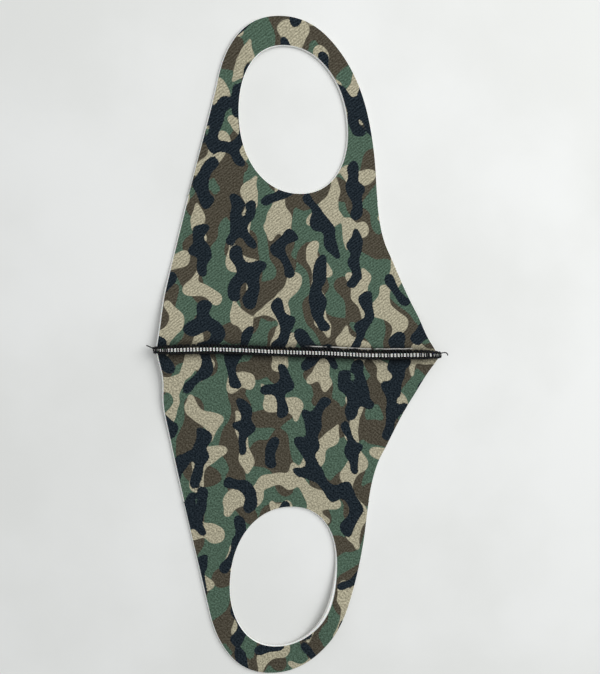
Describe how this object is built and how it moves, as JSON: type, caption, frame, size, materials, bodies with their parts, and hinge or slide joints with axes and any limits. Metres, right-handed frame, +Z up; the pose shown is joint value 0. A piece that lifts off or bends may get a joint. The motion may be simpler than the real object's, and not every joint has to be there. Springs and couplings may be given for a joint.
{
  "type": "face mask",
  "caption": "Camouflage knit face mask, laid open: mirrored cheek panels with cut-out ear loops, joined by an overlocked centre seam.",
  "frame": {"origin": "centre of the bounding box in X and Y, on the surface the mask lies on", "axes": "+X along the centre seam from the chin end to the nose end, +Y out along the wearer's right panel to its ear loop, +Z up off the printed side, which carries the seam's raw edges"},
  "size_m": [0.151, 0.32, 0.009],
  "materials": {
    "printed_face": "matt ribbed knit, printed in sand, green, brown and near-black camouflage",
    "core": "soft white foam, seen only at the cut edges",
    "lining": "matt off-white knit",
    "thread": "black bulked overlock thread, slightly fuzzy"
  },
  "bodies": {
    "seam": {"right_seam_allowance_face": "printed_face", "right_seam_allowance_core": "core", "right_seam_allowance_lining": "lining", "left_seam_allowance_face": "printed_face", "left_seam_allowance_core": "core", "left_seam_allowance_lining": "lining", "needle_thread": "thread", "upper_looper_thread": "thread", "lower_looper_thread": "thread"},
    "right_cheek": {"right_cheek_face": "printed_face", "right_cheek_core": "core", "right_cheek_lining": "lining"},
    "right_ear_loop": {"right_ear_loop_face": "printed_face", "right_ear_loop_core": "core", "right_ear_loop_lining": "lining"},
    "left_cheek": {"left_cheek_face": "printed_face", "left_cheek_core": "core", "left_cheek_lining": "lining"},
    "left_ear_loop": {"left_ear_loop_face": "printed_face", "left_ear_loop_core": "core", "left_ear_loop_lining": "lining"}
  },
  "joints": [
    {"name": "right_fold", "type": "hinge", "parent": "seam", "child": "right_cheek", "pos_m": [0, 0.00155, 0.0007], "axis": [-1, 0, 0], "range_deg": [0, 90]},
    {"name": "left_fold", "type": "hinge", "parent": "seam", "child": "left_cheek", "pos_m": [0, -0.00155, 0.0007], "axis": [1, 0, 0], "range_deg": [0, 90]},
    {"name": "right_loop_bend", "type": "hinge", "parent": "right_cheek", "child": "right_ear_loop", "pos_m": [0, 0.0742, 0.00155], "axis": [-1, 0, 0], "range_deg": [-90, 0]},
    {"name": "left_loop_bend", "type": "hinge", "parent": "left_cheek", "child": "left_ear_loop", "pos_m": [0, -0.0742, 0.00155], "axis": [1, 0, 0], "range_deg": [-90, 0]}
  ]
}
